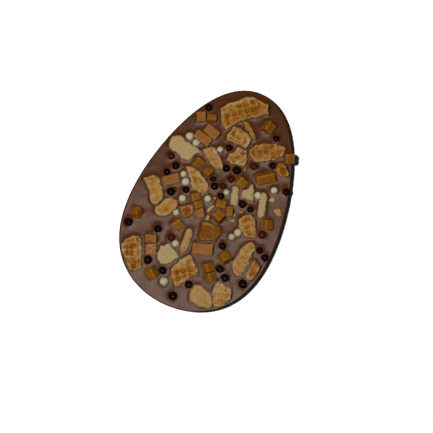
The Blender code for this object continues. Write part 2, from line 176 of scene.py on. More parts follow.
def put_value(mesh, name, values):
    """Stores a number for each point of a mesh, or one number for them all."""
    layer = mesh.attributes.get(name) or mesh.attributes.new(name, "FLOAT", "POINT")
    layer.data.foreach_set("value", np.full(len(mesh.vertices), values, dtype=np.float32))


def settle(made, material, slot, *nodes):
    """Gives a piece its material and its body, and lets it stand for its solids by hiding them. The slot is
    not used.
    """
    made.data.materials.clear()
    made.data.materials.append(material)
    made.data.shade_smooth()
    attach(made, "root")
    if nodes:
        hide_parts(*nodes)


def triangles(mesh):
    """How many triangles a mesh has."""
    return sum(len(face.vertices) - 2 for face in mesh.polygons)


print("helpers for meshes and pieces ready")

# %% [markdown]
# ## Mottle
#
# Chocolate, dough and fudge are never one flat colour: each is a little cloudy and has a fine grain. A
# painted picture could show that, but every piece would have to be unwrapped for it. Two noise textures
# give it at any size. All the finishes need the same two, so they sit in one shader group, and each
# material places it with its own scales. `Patch` is the cloud with its middle stretched, for mixing
# colours, and `Grain` feeds the bump.

# %% The mottle group
CLOUD_DETAIL = 4
GRAIN_DETAIL = 3
PATCH_EDGES = (0.3, 0.7)


def mottle_group():
    """Shader nodes that all the finishes share: broad soft clouds and a fine grain."""
    inputs = {"Place": "Vector", "Broad Scale": "Float", "Fine Scale": "Float"}
    outputs = {"Patch": "Float", "Cloud": "Float", "Grain": "Float"}
    group, given = new_group("Mottle", "ShaderNodeTree", inputs, outputs)
    cloud = noisy(group, given["Place"], given["Broad Scale"], CLOUD_DETAIL)
    grain = noisy(group, given["Place"], given["Fine Scale"], GRAIN_DETAIL)
    patch = remap(group, cloud, *PATCH_EDGES)
    add_node(group, "NodeGroupOutput", {"Patch": patch, "Cloud": cloud, "Grain": grain})
    return group


mottle = mottle_group()


def mottled(tree, place, broad, fine):
    """The outputs of the mottle group placed in a material."""
    inputs = {"Place": place, "Broad Scale": broad, "Fine Scale": fine}
    return add_node(tree, "ShaderNodeGroup", inputs, node_tree=mottle).outputs


print("mottle group")

# %% [markdown]
# ## Helpers for materials
#
# Each material is one Principled shader. Its pattern lies on the object's own coordinates, so it stays on
# the piece in every view.

# %% Parts of a material
CLOUD_EDGES = (0.25, 0.75)


def new_material(name):
    """An empty material: its tree, its Principled shader and the object's coordinates."""
    material = bpy.data.materials.new(name)
    material.use_nodes = True
    tree = material.node_tree
    shader = tree.nodes["Principled BSDF"]
    place = add_node(tree, "ShaderNodeTexCoord").outputs["Object"]
    return material, tree, shader, place


def mixed(tree, amount, first, second):
    """Two colours mixed. The node has an A and a B for each kind of value, and 6 and 7 are its colours."""
    inputs = {0: amount, 6: first, 7: second}
    return add_node(tree, "ShaderNodeMix", inputs, data_type="RGBA").outputs[2]


def stored(tree, name):
    """A value that the mesh carries for each point."""
    return add_node(tree, "ShaderNodeAttribute", attribute_name=name).outputs["Fac"]


def roughen(tree, shader, height, strength, depth):
    """Gives a shader a bump."""
    bump = add_node(tree, "ShaderNodeBump", {"Height": height, "Strength": strength, "Distance": depth})
    tree.links.new(bump.outputs["Normal"], shader.inputs["Normal"])


print("helpers for materials ready")

# %% [markdown]
# ## Chocolate
#
# Set milk chocolate has a soft gloss: flat stretches mirror the lamp above as a grey-mauve haze, and
# slopes beside the toppings don't. The haze could be painted on, but it would then stay put when the view
# turns. So the colour hardly varies, and the gloss, the bump and the lamp make the look. The pearls have
# a smoother, panned shell, and the white one is the least glossy.

# %% Four kinds of chocolate
CHOCOLATE_CLOUDS = 90
CHOCOLATE_GRAIN = 900
SMOOTHER, ROUGHER = 0.04, 0.06


def chocolate_material(name, colour, deeper, roughness, grain, specular=0.5):
    """Poured or panned chocolate with a faint uneven sheen."""
    material, tree, shader, place = new_material(name)
    look = mottled(tree, place, CHOCOLATE_CLOUDS, CHOCOLATE_GRAIN)
    tree.links.new(mixed(tree, look["Patch"], colour, deeper), shader.inputs["Base Color"])
    gloss = remap(tree, look["Cloud"], *CLOUD_EDGES, roughness - SMOOTHER, roughness + ROUGHER)
    tree.links.new(gloss, shader.inputs["Roughness"])
    shader.inputs["Specular IOR Level"].default_value = specular
    roughen(tree, shader, look["Grain"], strength=grain, depth=0.1 * MM)
    return material


milk = chocolate_material(
    "Milk chocolate", (0.06, 0.0165, 0.0034, 1), (0.052, 0.0138, 0.0026, 1), roughness=0.3, grain=0.15,
)
dark_shell = chocolate_material(
    "Dark pearl", (0.01, 0.0025, 0.0016, 1), (0.004, 0.0014, 0.001, 1), roughness=0.17, grain=0.3,
    specular=0.24,
)
milk_shell = chocolate_material(
    "Milk pearl", (0.047, 0.0085, 0.0018, 1), (0.034, 0.0058, 0.0014, 1), roughness=0.2, grain=0.3,
    specular=0.22,
)
white_shell = chocolate_material(
    "White pearl", (0.4, 0.365, 0.235, 1), (0.33, 0.295, 0.175, 1), roughness=0.4, grain=0.6,
)
print("four kinds of chocolate")

# %% [markdown]
# ## Baked dough
#
# A shard is pale where it broke, golden on its ribs and caramel in its pockets. A material for each
# colour would show a border between them. All of them lie on one ramp from pale crumb to caramel, so one
# material does all waffle and biscuit, and each point of a mesh says where on the ramp it is. `bake` runs
# from pale crumb at 0 to caramel at 1, `patchy` is how blotched the piece is, and `hollow` is above 0 in
# a waffle pocket and below 0 on an edge. A few pale flecks are sugar grains, and partly painted glints, as
# if the grains caught the light.

# %% Waffle and biscuit
BAKE_COLOURS = [
    (0.0, (0.3, 0.225, 0.113, 1)),
    (0.3, (0.285, 0.164, 0.053, 1)),
    (0.55, (0.255, 0.115, 0.024, 1)),
    (0.78, (0.195, 0.069, 0.005, 1)),
    (1.0, (0.125, 0.037, 0.0012, 1)),
]
BAKE_CLOUDS = 430
BAKE_GRAIN = 1000
CLOUD_SPREAD = 1.6
GRAIN_SPREAD = 0.65
POCKET_EDGES = (-0.55, 0.3)
POCKET_CLOUDS = 140
POCKET_CHANCE = (0.38, 0.62)
POCKET_BAKE = (0.1, 0.5)
FLECK_SCALE = 900
FLECK_EDGES = (0.3, 0.12)
FLECK_CHANCE = (0.5, 0.62)
# The flecks' colour: sugar grains, with a painted glint.
SUGAR_GLINT_COLOUR = (0.42, 0.33, 0.19, 1)
FLECK_SHARE = 0.35
GLAZED = (0.5, 1.0)
GLAZE_ROUGHNESS = (0.75, 0.4)
BAKED_SPECULAR = 0.15


def bake_ramp(tree, level):
    """The colour of dough that is baked this far."""
    ramp = add_node(tree, "ShaderNodeValToRGB", {"Fac": level})
    elements = ramp.color_ramp.elements
    while len(elements) < len(BAKE_COLOURS):
        elements.new(0.5)
    for element, (position, colour) in zip(elements, BAKE_COLOURS):
        element.position = position
        element.color = colour
    return ramp.outputs["Color"]


def baked_material():
    """Waffle and biscuit, coloured by how far each point is baked."""
    material, tree, shader, place = new_material("Baked dough")
    look = mottled(tree, place, BAKE_CLOUDS, BAKE_GRAIN)
    chance = noisy(tree, place, POCKET_CLOUDS, detail=1)
    low = remap(tree, stored(tree, "hollow"), *POCKET_EDGES)
    pocket = maths(tree, "MULTIPLY", low, remap(tree, chance, *POCKET_CHANCE, *POCKET_BAKE))
    spread = maths(tree, "ADD", swing(tree, look["Cloud"], CLOUD_SPREAD), pocket)
    uneven = maths(tree, "MULTIPLY", spread, stored(tree, "patchy"))
    level = maths(tree, "ADD", stored(tree, "bake"), uneven)
    level = maths(tree, "ADD", level, swing(tree, look["Grain"], GRAIN_SPREAD), clamp=True)

    # Pale flecks: sugar grains, partly painted glints where grains would catch the light.
    inputs = {"Vector": place, "Scale": FLECK_SCALE}
    fleck = add_node(tree, "ShaderNodeTexVoronoi", inputs).outputs["Distance"]
    chance = remap(tree, look["Grain"], *FLECK_CHANCE)
    sugar = maths(tree, "MULTIPLY", remap(tree, fleck, *FLECK_EDGES), chance)
    sugar_and_glint = maths(tree, "MULTIPLY", sugar, FLECK_SHARE)
    tree.links.new(mixed(tree, sugar_and_glint, bake_ramp(tree, level), SUGAR_GLINT_COLOUR), shader.inputs["Base Color"])

    tree.links.new(remap(tree, level, *GLAZED, *GLAZE_ROUGHNESS), shader.inputs["Roughness"])
    shader.inputs["Specular IOR Level"].default_value = BAKED_SPECULAR
    roughen(tree, shader, look["Grain"], strength=0.8, depth=0.3 * MM)
    return material


baked = baked_material()
print(f"baked dough, {len(BAKE_COLOURS)} colours on its ramp")

# %% [markdown]
# ## Fudge
#
# The blocks of fudge are golden brown and satin on their cut faces, and sugar lies on a few. Blocks
# whose tops lie flat are painted a paler tan. That is painted light for the lamp on a flat top, not a second
# kind of fudge. Their edges are painted paler too, as a painted highlight. A material for each would repeat
# the same nodes, so one material mixes in the painted tan by `tan` and adds sugar by `dust`, which each block
# carries.

# %% Golden fudge, with painted light on flat tops and edges
FUDGE_CLOUDS = 260
FUDGE_GRAIN = 1300
GOLDEN = ((0.19, 0.068, 0.0035, 1), (0.14, 0.045, 0.002, 1))
# Paler tan for blocks whose tops lie flat: painted light, as the lamp falls on a flat top.
PAINTED_TAN_COLOURS = ((0.205, 0.082, 0.017, 1), (0.175, 0.066, 0.012, 1))
# Painted highlight: a paler colour along the blocks' edges, where the lamp would glint.
EDGE_HIGHLIGHT_COLOUR = (0.36, 0.18, 0.045, 1)
EDGE_HIGHLIGHT_SHARE = 0.35
EDGE_HIGHLIGHT_HOLLOW = (-0.25, -0.9)
DUST_COLOUR = (0.5, 0.36, 0.22, 1)
DUST_EDGES = (0.52, 0.66)
SATIN = (0.22, 0.34)
FUDGE_SPECULAR = 0.1


def fudge_material():
    """Satin fudge, golden, painted a paler tan on flat-topped blocks and paler along its edges as painted
    light, with some sugar dust.
    """
    material, tree, shader, place = new_material("Fudge")
    look = mottled(tree, place, FUDGE_CLOUDS, FUDGE_GRAIN)
    golden = mixed(tree, look["Patch"], *GOLDEN)
    painted_tan = mixed(tree, look["Patch"], *PAINTED_TAN_COLOURS)
    # Painted light: `tan` mixes flat-topped blocks towards the paler tan.
    body = mixed(tree, stored(tree, "tan"), golden, painted_tan)
    # A painted highlight: points on an edge, where `hollow` is below 0, are mixed towards the paler colour.
    edge = remap(tree, stored(tree, "hollow"), *EDGE_HIGHLIGHT_HOLLOW)
    highlighted = mixed(tree, maths(tree, "MULTIPLY", edge, EDGE_HIGHLIGHT_SHARE), body, EDGE_HIGHLIGHT_COLOUR)
    sugar = maths(tree, "MULTIPLY", remap(tree, look["Grain"], *DUST_EDGES), stored(tree, "dust"))
    tree.links.new(mixed(tree, sugar, highlighted, DUST_COLOUR), shader.inputs["Base Color"])
    tree.links.new(remap(tree, look["Cloud"], *CLOUD_EDGES, *SATIN), shader.inputs["Roughness"])
    shader.inputs["Specular IOR Level"].default_value = FUDGE_SPECULAR
    roughen(tree, shader, look["Grain"], strength=0.35, depth=0.1 * MM)
    return material


fudge = fudge_material()
print("fudge, golden and milky")

# %% [markdown]
# ## Relief
#
# Broken dough and cut fudge are never clean solids. Sculpting some fifty pieces by hand would be slow,
# and bump alone leaves the outline straight. So a Geometry Nodes group wears each remeshed solid in the
# same way. It rounds the form, stores `hollow` from how far a point lies below its surroundings, and then
# pushes the surface in and out by a coarse and a fine noise. Broken sides also get small round pits, as a
# baked crumb has, and a ragged tear. `Fill` makes the pockets of a waffle shallower, and `Growth` closes
# the narrow gap between neighbours. The surroundings are the same mesh blurred 44 times, which reaches
# across a pocket.

# %% Parts of a Geometry Nodes group
def carried(group, name):
    """A value that the mesh carries for each point."""
    inputs = {"Name": name}
    return add_node(group, "GeometryNodeInputNamedAttribute", inputs, data_type="FLOAT").outputs[0]


def pushed(group, geometry, facing, amount):
    """The geometry with each point moved along its normal."""
    inputs = {0: facing, "Scale": amount}
    offset = add_node(group, "ShaderNodeVectorMath", inputs, operation="SCALE").outputs[0]
    return add_node(group, "GeometryNodeSetPosition", {"Geometry": geometry, "Offset": offset}).outputs[0]


def finish_group(group, geometry, material):
    """Ends a group: the geometry gets its material and goes out."""
    inputs = {"Geometry": geometry, "Material": material}
    coated = add_node(group, "GeometryNodeSetMaterial", inputs).outputs[0]
    add_node(group, "NodeGroupOutput", {"Geometry": coated})


print("helpers for Geometry Nodes ready")

# %% The relief group
SURROUNDING_STEPS = 44
SIDE, TOP = 0.3, 0.75
PIT_EDGES = (0.45, 0.15)
TEAR_WIDTH = 3.0
RELIEF_INPUTS = ("Reach", "Coarse Size", "Coarse Depth", "Fine Size", "Fine Depth", "Pit Size", "Pit Depth",
                 "Ragged Size", "Ragged Depth", "Growth", "Fill")


def hollow_share(group, spot, reach):
    """How far a point lies below its surroundings, as a share of reach."""
    height = add_node(group, "ShaderNodeSeparateXYZ", {"Vector": spot}).outputs["Z"]
    inputs = {"Value": height, "Iterations": SURROUNDING_STEPS}
    around = add_node(group, "GeometryNodeBlurAttribute", inputs, data_type="FLOAT").outputs[0]
    return maths(group, "DIVIDE", maths(group, "SUBTRACT", around, height), reach)


def wear_amounts(group, given, spot, facing):
    """How far each kind of wear moves a point along its normal."""
    upward = add_node(group, "ShaderNodeSeparateXYZ", {"Vector": facing}).outputs["Z"]
    broken = remap(group, upward, TOP, SIDE)
    level = remap(group, upward, SIDE, TOP)
    scales = {}
    for kind in ("Coarse", "Fine", "Pit", "Ragged"):
        scales[kind] = maths(group, "DIVIDE", 1.0, given[f"{kind} Size"])
    amounts = [given["Growth"]]
    for kind in ("Coarse", "Fine"):
        wave = noisy(group, spot, scales[kind], detail=2)
        amounts.append(maths(group, "MULTIPLY", swing(group, wave, 2.0), given[f"{kind} Depth"]))
    inputs = {"Vector": spot, "Scale": scales["Pit"]}
    cells = add_node(group, "ShaderNodeTexVoronoi", inputs).outputs["Distance"]
    pit = maths(group, "MULTIPLY", remap(group, cells, *PIT_EDGES), broken)
    amounts.append(maths(group, "MULTIPLY", maths(group, "MULTIPLY", pit, given["Pit Depth"]), -1.0))
    tear = noisy(group, spot, scales["Ragged"], detail=3, Roughness=0.6)
    bite = maths(group, "MULTIPLY", swing(group, tear, TEAR_WIDTH), broken)
    amounts.append(maths(group, "MULTIPLY", bite, given["Ragged Depth"]))
    pocket_floor = maths(group, "MULTIPLY", remap(group, carried(group, "hollow"), 0.0, 1.0), level)
    amounts.append(maths(group, "MULTIPLY", pocket_floor, given["Fill"]))
    return amounts


def relief_group():
    """The Geometry Nodes group that turns a clean solid into a worn one."""
    inputs = {"Geometry": "Geometry", "Rounding": "Int", "Finish": "Material"}
    inputs.update({name: "Float" for name in RELIEF_INPUTS})
    group, given = new_group("Relief", "GeometryNodeTree", inputs, {"Geometry": "Geometry"})
    spot = add_node(group, "GeometryNodeInputPosition").outputs["Position"]
    facing = add_node(group, "GeometryNodeInputNormal").outputs[0]
    inputs = {"Value": spot, "Iterations": given["Rounding"]}
    rounded = add_node(group, "GeometryNodeBlurAttribute", inputs, data_type="FLOAT_VECTOR").outputs[0]
    inputs = {"Geometry": given["Geometry"], "Position": rounded}
    soft = add_node(group, "GeometryNodeSetPosition", inputs).outputs[0]
    inputs = {"Geometry": soft, "Name": "hollow", "Value": hollow_share(group, spot, given["Reach"])}
    marked = add_node(group, "GeometryNodeStoreNamedAttribute", inputs, data_type="FLOAT", domain="POINT")
    push, *others = wear_amounts(group, given, spot, facing)
    for amount in others:
        push = maths(group, "ADD", push, amount)
    finish_group(group, pushed(group, marked.outputs[0], facing, push), given["Finish"])
    return group


relief = relief_group()


def worn_copy(name, mesh, voxel, finish, **values):
    """An object remeshed evenly from a closed mesh, then worn by the relief group."""
    made = new_object(name, mesh)
    remesh = made.modifiers.new("Even mesh", "REMESH")
    remesh.mode = "VOXEL"
    remesh.voxel_size = voxel
    bake_modifiers(made)
    use_nodes(made, relief, finish=finish, **values)
    return made


print(f"relief group with {len(relief.nodes)} nodes")

# %% [markdown]
# ## Waffle and biscuit shards
#
# Thirteen shards of waffle and twelve of biscuit stand in the chocolate. Their solids already have the
# outline, the lean and the pockets of the grid, so each shard is its solid, worn. A crumbly one, which is
# hardly baked, is rounded less and torn more.
#
# For each shard: how far it is baked, how patchy it is, the way its pale broken side faces, in degrees
# from +X towards +Y, and how pale its rim is. `None` is a shard with no pale side.

# %% The shards and their wear
SHARDS = {
    "waffle_01": (0.6, 0.8, 130, 0.6),
    "waffle_02": (0.42, 1.2, 20, 0.5),
    "waffle_03": (0.34, 1.1, 0, 0.5),
    "waffle_04": (0.62, 0.9, -60, 0.6),
    "waffle_05": (0.37, 1.0, -30, 0.5),
    "waffle_06": (0.38, 0.7, 220, 0.5),
    "waffle_07": (0.74, 0.6, 0, 0.3),
    "waffle_08": (0.45, 0.9, 215, 0.5),
    "waffle_09": (0.48, 1.0, 215, 0.5),
    "waffle_10": (0.46, 0.8, 150, 0.4),
    "waffle_11": (0.38, 0.7, 0, 0.4),
    "waffle_12": (0.61, 0.7, 215, 0.4),
    "waffle_13": (0.25, 1.0, 100, 0.4),
    "biscuit_01": (0.75, 0.5, None, 0.4),
    "biscuit_02": (0.08, 0.1, None, 0.0),
    "biscuit_03": (0.33, 1.1, 40, 0.4),
    "biscuit_04": (0.37, 0.6, -60, 0.5),
    "biscuit_05": (0.75, 1.1, None, 0.3),
    "biscuit_06": (0.08, 0.1, None, 0.0),
    "biscuit_07": (0.08, 0.1, None, 0.0),
    "biscuit_08": (0.08, 0.1, None, 0.0),
    "biscuit_09": (0.9, 1.4, None, 0.1),
    "biscuit_10": (0.33, 0.5, 0, 0.4),
    "biscuit_11": (0.02, 0.2, None, 0.0),
    "biscuit_12": (0.22, 0.4, None, 0.0),
}
CRUMBLY = 0.2
SHARD_VOXEL = 0.25 * MM
SHARD_WEAR = dict(
    reach=0.5 * MM, fine_size=0.7 * MM, pit_size=1.0 * MM, pit_depth=0.25 * MM, ragged_size=1.3 * MM,
    growth=0.1 * MM,
)
CRUMBLY_WEAR = dict(
    rounding=4, coarse_size=1.9 * MM, coarse_depth=0.42 * MM, fine_depth=0.28 * MM, ragged_depth=0.5 * MM,
    fill=0.0,
)
FIRM_WEAR = dict(
    rounding=14, coarse_size=2.4 * MM, coarse_depth=0.32 * MM, fine_depth=0.22 * MM, ragged_depth=0.42 * MM,
    fill=0.45 * MM,
)
crumbly = [name for name, (bake, *_) in SHARDS.items() if bake < CRUMBLY]
print(f"{len(crumbly)} of {len(SHARDS)} shards are crumbly")

# %% [markdown]
# ## How a shard's bake fades
#
# Dough browns from the outside, so a shard is pale wherever it broke: in a thin line along its rim, and
# on one side where the break slopes. Both could be painted by hand on every shard, which takes long and
# is lost when a solid changes. Here the pale rim comes from each point's distance to the broken sides,
# and the pale side from a direction, and noise makes both uneven.

# %% Fading to pale crumb
PALE = 0.06
UPRIGHT = 0.5
RIM_WIDTH = 0.8 * MM
RIM_UNEVEN = 0.8
RIM_GRAIN = 600
FADE_START = 0.45
FADE_LENGTH = 0.4
FADE_SHARE = 0.85
FADE_UNEVEN = 0.18
FADE_GRAIN = 400


def points_of(mesh):
    """The points of a mesh as an array."""
    flat = np.empty(len(mesh.vertices) * 3)
    mesh.vertices.foreach_get("co", flat)
    return flat.reshape(-1, 3)


def smooth(share):
    """A share held between 0 and 1, with soft ends."""
    share = np.clip(share, 0, 1)
    return share * share * (3 - 2 * share)


def ripple(points, grain):
    """Noise between about -1 and 1 at each point."""
    return np.array([noise.noise(Vector(point) * grain) for point in points])


def from_sides(mesh, points):
    """How far each point is, in plan, from the shard's broken sides. Those under the chocolate mark them."""
    facing = np.empty(len(mesh.vertices) * 3)
    mesh.vertex_normals.foreach_get("vector", facing)
    upright = np.abs(facing.reshape(-1, 3)[:, 2]) < UPRIGHT
    sides = np.flatnonzero(upright & (points[:, 2] < SLAB_TOP))
    tree = KDTree(len(sides))
    for index in sides:
        tree.insert((points[index, 0], points[index, 1], 0), int(index))
    tree.balance()
    return np.array([tree.find((x, y, 0))[2] for x, y, _ in points])


def colour_by_place(mesh, bake, patchy, pale_way=None, rim=0.0):
    """Stores a shard's bake and patchiness, and fades it to pale crumb at its rim and on its broken side."""
    points = points_of(mesh)
    levels = np.full(len(points), bake)
    if rim:
        width = RIM_WIDTH * (1 + RIM_UNEVEN * ripple(points, RIM_GRAIN))
        levels = bake + (PALE - bake) * rim * np.exp(-(from_sides(mesh, points) / width) ** 2)
    if pale_way is not None:
        turn = math.radians(pale_way)
        reach = (points[:, :2] - points[:, :2].mean(0)) @ np.array([math.cos(turn), math.sin(turn)])
        share = reach / reach.max() + FADE_UNEVEN * ripple(points, FADE_GRAIN)
        levels = levels + (PALE - levels) * smooth((share - FADE_START) / FADE_LENGTH) * FADE_SHARE
    put_value(mesh, "bake", levels)
    put_value(mesh, "patchy", patchy)


shard_triangles = 0
for name, (bake, patchy, pale_way, rim) in SHARDS.items():
    wear = CRUMBLY_WEAR if name in crumbly else FIRM_WEAR
    shard = worn_copy(f"{name}_baked", take_mesh(name), SHARD_VOXEL, baked, **SHARD_WEAR, **wear)
    colour_by_place(shard.data, bake, patchy, pale_way, rim)
    settle(shard, baked, slots[name], name)
    shard_triangles += triangles(shard.data)
print(f"{len(SHARDS)} shards, {shard_triangles} triangles")

# %% [markdown]
# ## Fudge blocks
#
# The blocks are cubes and bricks of fudge, cut to about 5 mm, with a slow wave in their faces and
# slightly worn edges. Their solids have the sizes and leans already, and a Bevel modifier would make
# every edge alike. The relief group does it with slight values: a little rounding, hardly any fine noise,
# and no pits or tears.
#
# The table of tans says how much painted light, as a paler tan, a block's flat top gets, where that isn't
# 0.1, and `DUST` how much sugar lies on it.

# %% The blocks
FUDGE_VOXEL = 0.22 * MM
FUDGE_WEAR = dict(
    rounding=4, reach=0.5 * MM, coarse_size=3.0 * MM, coarse_depth=0.28 * MM, fine_size=0.9 * MM,
    fine_depth=0.05 * MM, pit_size=1.5 * MM, pit_depth=0.0, ragged_size=2 * MM, ragged_depth=0.0,
    growth=0.17 * MM, fill=0.0,
)
PLAIN_PAINTED_TAN = 0.1
# How much painted light, as a paler tan, each flat-topped block gets.
PAINTED_TAN_SHARE = {
    "fudge_01": 0.8, "fudge_03": 1.0, "fudge_04": 1.0, "fudge_08": 0.3, "fudge_10": 0.3, "fudge_11": 0.9,
    "fudge_13": 0.5, "fudge_16": 0.5, "fudge_18": 0.3, "fudge_20": 0.4, "fudge_21": 1.0, "fudge_23": 1.0,
}
DUST = {"fudge_04": 0.1, "fudge_20": 0.15, "fudge_21": 0.4}
blocks = [name for name in node_names if name.startswith("fudge")]
fudge_triangles = 0
for name in blocks:
    block = worn_copy(f"{name}_cut", take_mesh(name), FUDGE_VOXEL, fudge, **FUDGE_WEAR)
    put_value(block.data, "tan", PAINTED_TAN_SHARE.get(name, PLAIN_PAINTED_TAN))
    put_value(block.data, "dust", DUST.get(name, 0.0))
    settle(block, fudge, slots[name], name)
    fudge_triangles += triangles(block.data)
print(f"{len(blocks)} blocks of fudge, {fudge_triangles} triangles")

# %% [markdown]
# ## Pearls
#
# Crisp pearls panned in dark, milk and white chocolate lie where they fell, sunk a little. Adding each as
# a sphere would work, but one ball repeated on points is what Geometry Nodes are for: a change to the
# ball changes them all. Each ball is turned at random from one seed and made slightly uneven, so that no
# two look alike.
#
# Places are x, y and diameter in millimetres. A pearl is sunk by three tenths of its height.

# %% Where the pearls lie
PEARL_LIFT = 0.2
DARK = [
    (-23.1, 43.4, 4.2), (16.8, 43.9, 3.5), (-4, 28.5, 3.8), (-25.7, 7.5, 4.3), (-28.6, 2.6, 3.9),
    (-0.6, 18, 4.1), (5, 19.4, 4.5), (21.1, 30, 3.9), (-4.5, 9.7, 3.4), (-2.1, 6.6, 4.3), (-22, -6, 4.7),
    (-15.2, -1.6, 3.9), (3.3, 3.4, 3.8), (33.8, 20.4, 4.1), (15.5, 4.4, 4.5), (20.6, 3.6, 3.7),
    (-35.6, -30.6, 4.7), (-19.8, -27, 4.4), (15.6, -20.5, 4.2), (34.6, -14.1, 3.9), (38.7, -16.4, 4.1),
    (-17.4, -44.4, 4.8), (-7.8, -46.1, 4.4), (19.6, -32.2, 4.4), (24, -35.4, 4.6), (34, -34.2, 4.9),
    (8.1, -47, 4.5), (3, -56.2, 5.1),
]
MILK = [
    (-30.2, 11.3, 4.2), (12.3, 25.4, 4.4), (4.2, 14, 4.2), (1.8, 8.5, 3.8), (32, -6, 4.6),
    (-11.2, -28.1, 4.5),
]
WHITE = [
    (-25.6, 25.2, 4.6), (-21, 23.4, 4.1), (-7.8, 25.7, 3.5), (-19.9, 5.5, 3.6), (-17.2, 2.1, 4.3),
    (5.2, 6.4, 3.5), (-2.4, -0.9, 3.9), (-14.8, -6.6, 4.2), (21.1, 12.1, 4.2), (27.8, 18.4, 3.9),
    (-14.6, -15, 3.7), (20, -10.4, 4.3), (18, -14.1, 3.7), (-7.7, -30.2, 4.1), (-4.6, -51.2, 4.8),
]
print(f"{len(DARK)} dark, {len(MILK)} milk and {len(WHITE)} white pearls")

# %% Balls on points
PEARL_SEGMENTS = 24
RINGS_TO_SEGMENTS = 0.6
PEARL_SEED = 7
LUMP_SCALE = 420


def pearl_group():
    """Geometry Nodes: a ball of the stored size on each point, a little out of round."""
    inputs = {"Geometry": "Geometry", "Segments": "Int", "Unevenness": "Float", "Seed": "Int"}
    inputs["Shell"] = "Material"
    group, given = new_group("Pearls", "GeometryNodeTree", inputs, {"Geometry": "Geometry"})
    rings = maths(group, "MULTIPLY", given["Segments"], RINGS_TO_SEGMENTS)
    inputs = {"Segments": given["Segments"], "Rings": rings, "Radius": 0.5}
    ball = add_node(group, "GeometryNodeMeshUVSphere", inputs).outputs[0]
    inputs = {"Max": (math.tau, math.tau, math.tau), "Seed": given["Seed"]}
    turn = add_node(group, "FunctionNodeRandomValue", inputs, data_type="FLOAT_VECTOR").outputs[0]
    across = carried(group, "across")
    inputs = {"Points": given["Geometry"], "Instance": ball, "Rotation": turn, "Scale": across}
    balls = add_node(group, "GeometryNodeInstanceOnPoints", inputs).outputs[0]
    real = add_node(group, "GeometryNodeRealizeInstances", {"Geometry": balls}).outputs[0]
    spot = add_node(group, "GeometryNodeInputPosition").outputs["Position"]
    facing = add_node(group, "GeometryNodeInputNormal").outputs[0]
    lumps = swing(group, noisy(group, spot, LUMP_SCALE, detail=1), given["Unevenness"])
    finish_group(group, pushed(group, real, facing, lumps), given["Shell"])
    return group


pearl_nodes = pearl_group()


def pearls(name, places, shell, unevenness):
    """All the pearls of one kind as one piece."""
    centres = [(x * MM, y * MM, SLAB_TOP + PEARL_LIFT * across * MM) for x, y, across in places]
    mesh = new_mesh(name, centres, [])
    put_value(mesh, "across", [across * MM for _, _, across in places])
    made = new_object(name, mesh)
    use_nodes(made, pearl_nodes, segments=PEARL_SEGMENTS, unevenness=unevenness, seed=PEARL_SEED, shell=shell)
    settle(made, shell, slots["chocolate_slab"], "chocolate_slab")
    print(f"{name}: {len(places)}, {triangles(made.data)} triangles")
    return made


pearl_pieces = [
    pearls("dark_pearls", DARK, dark_shell, 0.5 * MM),
    pearls("milk_pearls", MILK, milk_shell, 0.45 * MM),
    pearls("white_pearls", WHITE, white_shell, 0.7 * MM),
]

# %% [markdown]
# ## Crumbs
#
# Bits of biscuit that broke off lie on the chocolate. Scattering them at random would put them in the
# wrong places, so each is drawn by its corners, raised to a low block and worn as a shard is.
#
# For each crumb: its corners in millimetres, then how far it is baked.

# %% The crumbs
CRUMBS = [
    ([(27.4, 12), (30.4, 11.8), (30.6, 13.8), (29.3, 14.9), (27.8, 14.2)], 0.12),
    ([(31.8, 9.2), (32.6, 7.5), (35, 6.7), (37.2, 7.4), (36.4, 9.2), (35.2, 10.9), (34, 10.7)], 0.34),
    ([(0, -7.9), (-0.3, -5.8), (1, -3.2), (2.4, -2.6), (2.8, -3.6), (1.8, -5), (1.5, -7.4)], 0.14),
    ([(1, -8.8), (2.7, -8.8), (3.1, -11.6), (0.9, -11.8)], 0.16),
    ([(13.1, -6.4), (14.2, -5.2), (16, -5.1), (15.6, -6.5), (14.4, -7)], 0.2),
    ([(13.4, -1.7), (13.5, -3.9), (14.6, -4.2), (15.2, -2.8), (14.5, -1.6)], 0.5),
    ([(15.2, 0.5), (15.6, -0.5), (17.6, -0.3), (17.9, 0.5), (16.6, 0.9)], 0.45),
    ([(-0.1, 0.6), (0.9, 0), (2, 0.7), (1.4, 1.5), (0.2, 1.5)], 0.3),
    ([(8.1, 21), (9, 20.4), (9.5, 21.6), (9, 22.6), (8.2, 22.3)], 0.4),
    ([(5.9, 34.2), (6.6, 33.8), (7.1, 34.5), (6.6, 35.2)], 0.35),
    ([(-4.9, 25.4), (-4.2, 25), (-3.7, 25.7), (-4.3, 26.2)], 0.3),
    ([(-25.5, -27.2), (-24.9, -27.5), (-24.4, -26.9), (-25, -26.4)], 0.3),
]
CRUMB_HEIGHT = 3 * MM
CRUMB_SINK = 0.8 * MM
CRUMB_SHOULDER = 0.6
CRUMB_TOP = 0.7
CRUMB_PATCHY = 0.2
CRUMB_WEAR = dict(
    rounding=3, reach=0.6 * MM, coarse_size=1.8 * MM, coarse_depth=0.2 * MM, fine_size=0.6 * MM,
    fine_depth=0.1 * MM, pit_size=1.0 * MM, pit_depth=0.2 * MM, ragged_size=1.0 * MM, ragged_depth=0.25 * MM,
    growth=0.0, fill=0.0,
)


